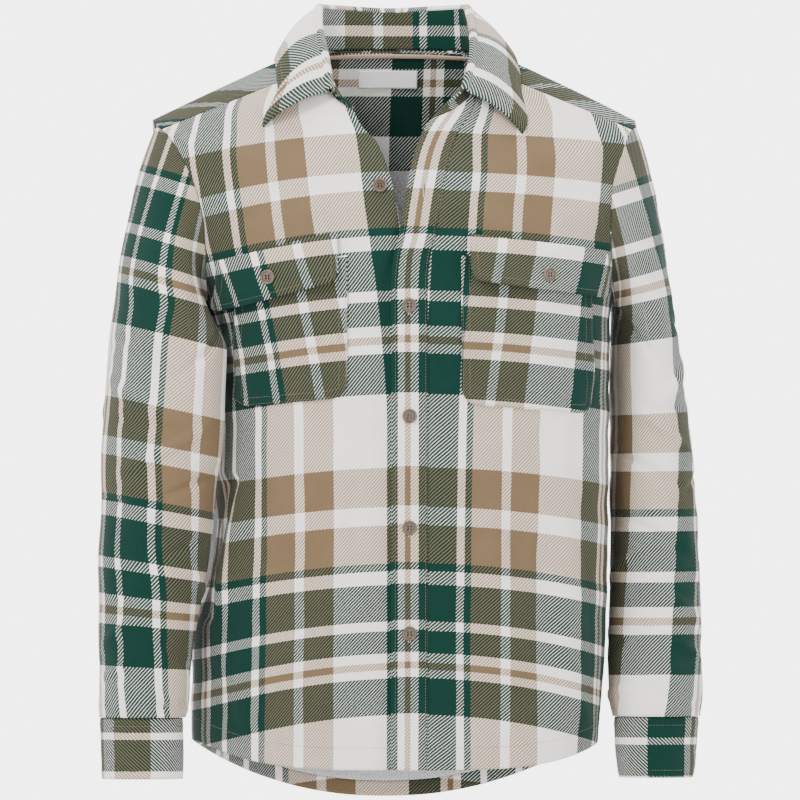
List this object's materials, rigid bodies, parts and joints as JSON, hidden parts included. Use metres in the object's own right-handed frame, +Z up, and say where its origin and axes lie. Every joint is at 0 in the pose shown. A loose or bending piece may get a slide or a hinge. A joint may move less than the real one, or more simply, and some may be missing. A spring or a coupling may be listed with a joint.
{
  "type": "plaid flannel shirt jacket",
  "caption": "Plaid flannel shirt jacket, filled out with no wearer: buttoned front, turned-down collar, flap chest pockets, long cuffed sleeves and a curved shirt-tail hem.",
  "frame": {"origin": "in the neck opening, midway between the shoulders at the base of the neck, where the wearer's shoulders hold the garment up", "axes": "+Z up, -Y out of the buttoned front, +X towards the wearer's left sleeve"},
  "size_m": [0.5993, 0.2753, 0.7788],
  "materials": {
    "flannel": "brushed cotton flannel, woven plaid of white, tan and dark green",
    "fleece": "grey melange fleece, napped",
    "tape": "tan woven seam tape",
    "label": "blank white woven label",
    "button": "taupe four-hole button, satin"
  },
  "bodies": {
    "root": {"right_front": "flannel", "left_front": "flannel", "front_band": "flannel", "back": "flannel", "yoke": "flannel", "inner_yoke": "flannel", "back_lining": "fleece", "hem_facing": "flannel", "neck_tape": "tape", "neck_label": "label", "right_sleeve": "flannel", "left_sleeve": "flannel", "right_cuff": "flannel", "left_cuff": "flannel", "collar_stand": "flannel", "collar_leaf": "flannel", "right_pocket": "flannel", "left_pocket": "flannel", "right_pocket_flap": "flannel", "left_pocket_flap": "flannel", "front_button_1": "button", "front_button_2": "button", "front_button_3": "button", "front_button_4": "button", "front_button_5": "button", "right_flap_button": "button", "left_flap_button": "button"}
  },
  "joints": []
}
